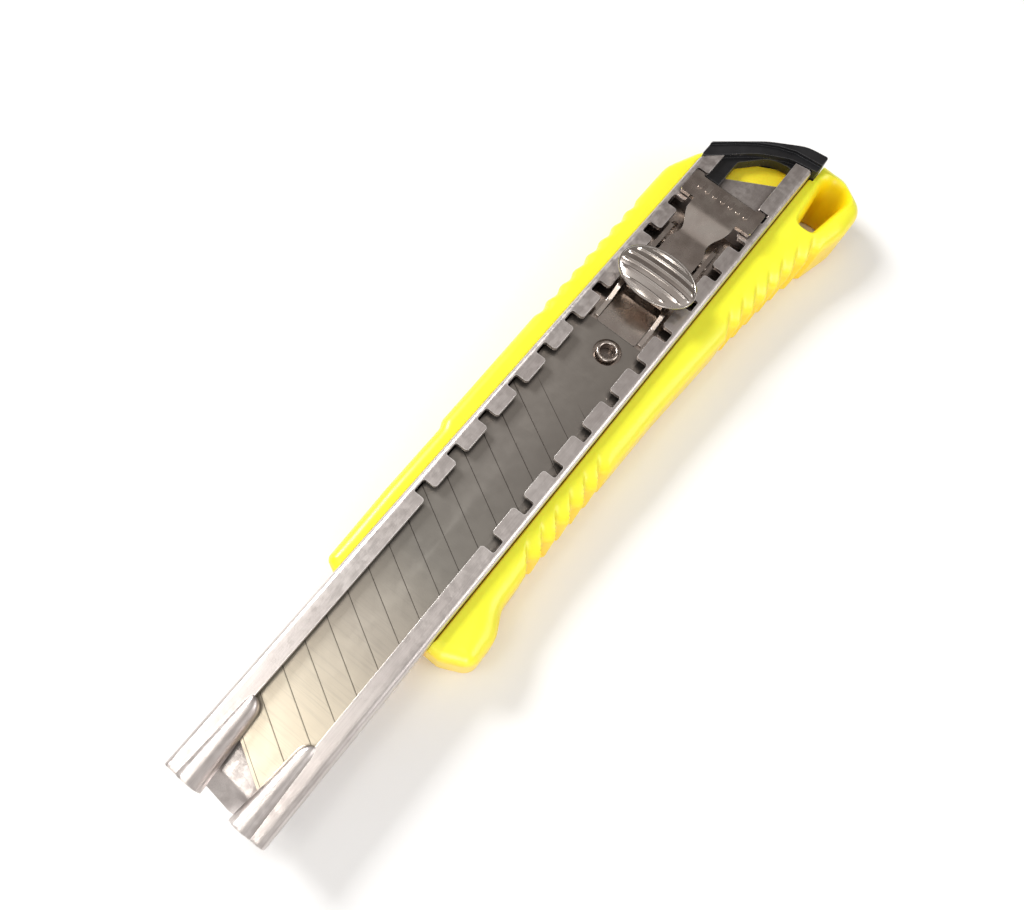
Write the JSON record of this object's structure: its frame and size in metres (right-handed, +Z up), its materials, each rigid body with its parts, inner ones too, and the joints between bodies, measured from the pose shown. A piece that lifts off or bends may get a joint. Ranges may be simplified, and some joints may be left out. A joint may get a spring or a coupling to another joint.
{
  "type": "utility knife",
  "caption": "Snap-off utility knife with a yellow moulded handle, a notched steel rail, a scored blade, a ridged thumb button on a sliding lock, and a black end cap.",
  "frame": {"origin": "on the flat back of the handle, under the rail's centreline, half way along the knife", "axes": "+X along the knife away from the blade's tip, +Y across toward the thumb side (the finger guard is at -Y), +Z up out of the open side of the rail"},
  "size_m": [0.1752, 0.0391, 0.0204],
  "materials": {
    "yellow_abs": "semi-gloss moulded ABS",
    "rail_steel": "satin stamped steel",
    "black_plastic": "satin black moulded plastic",
    "blade_steel": "ground tool steel",
    "plated_steel": "bright nickel plate",
    "button_chrome": "polished nickel-chrome plate"
  },
  "bodies": {
    "frame": {"handle": "yellow_abs", "rail": "rail_steel"},
    "slider": {"carriage": "plated_steel", "blade": "blade_steel", "blade_stud": "plated_steel", "rocker_pin": "plated_steel", "return_spring": "blade_steel"},
    "lock": {"lock_plate": "plated_steel", "thumb_button": "button_chrome", "button_rivet": "plated_steel"},
    "cap": {"end_cap": "black_plastic"}
  },
  "joints": [
    {"name": "blade_slide", "type": "slide", "parent": "frame", "child": "slider", "axis": [-1, 0, 0], "range_m": [0, 0.09]},
    {"name": "lock_rock", "type": "hinge", "parent": "slider", "child": "lock", "pos_m": [0.046, 0, 0.01365], "axis": [0, -1, 0], "range_deg": [0, 6], "stiffness_Nm_per_rad": 0.35, "springref_deg": -2.86, "deforming": ["return_spring"]},
    {"name": "cap_slide", "type": "slide", "parent": "frame", "child": "cap", "axis": [1, 0, 0], "range_m": [0, 0.02]}
  ]
}
